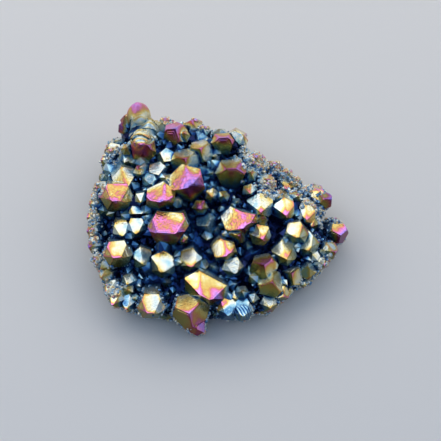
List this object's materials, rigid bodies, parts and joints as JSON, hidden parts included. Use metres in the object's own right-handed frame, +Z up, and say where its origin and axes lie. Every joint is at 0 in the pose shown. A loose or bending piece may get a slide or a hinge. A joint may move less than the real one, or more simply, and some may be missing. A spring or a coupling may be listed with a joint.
{
  "type": "aura quartz cluster",
  "caption": "Palm-sized cluster of stubby quartz points on a lump of rock, with an iridescent metal coating, lying on its flat broken base; a display specimen.",
  "frame": {"origin": "middle of the outline box, at the flat base", "axes": "+X along the cluster's length, +Y towards its high back, +Z up from the flat base"},
  "size_m": [0.0792, 0.0714, 0.0279],
  "materials": {
    "aura_quartz": "glossy vacuum-deposited titanium film on quartz, with interference colours from gold and pink to teal and navy"
  },
  "bodies": {
    "root": {"quartz_cluster": "aura_quartz"}
  },
  "joints": []
}
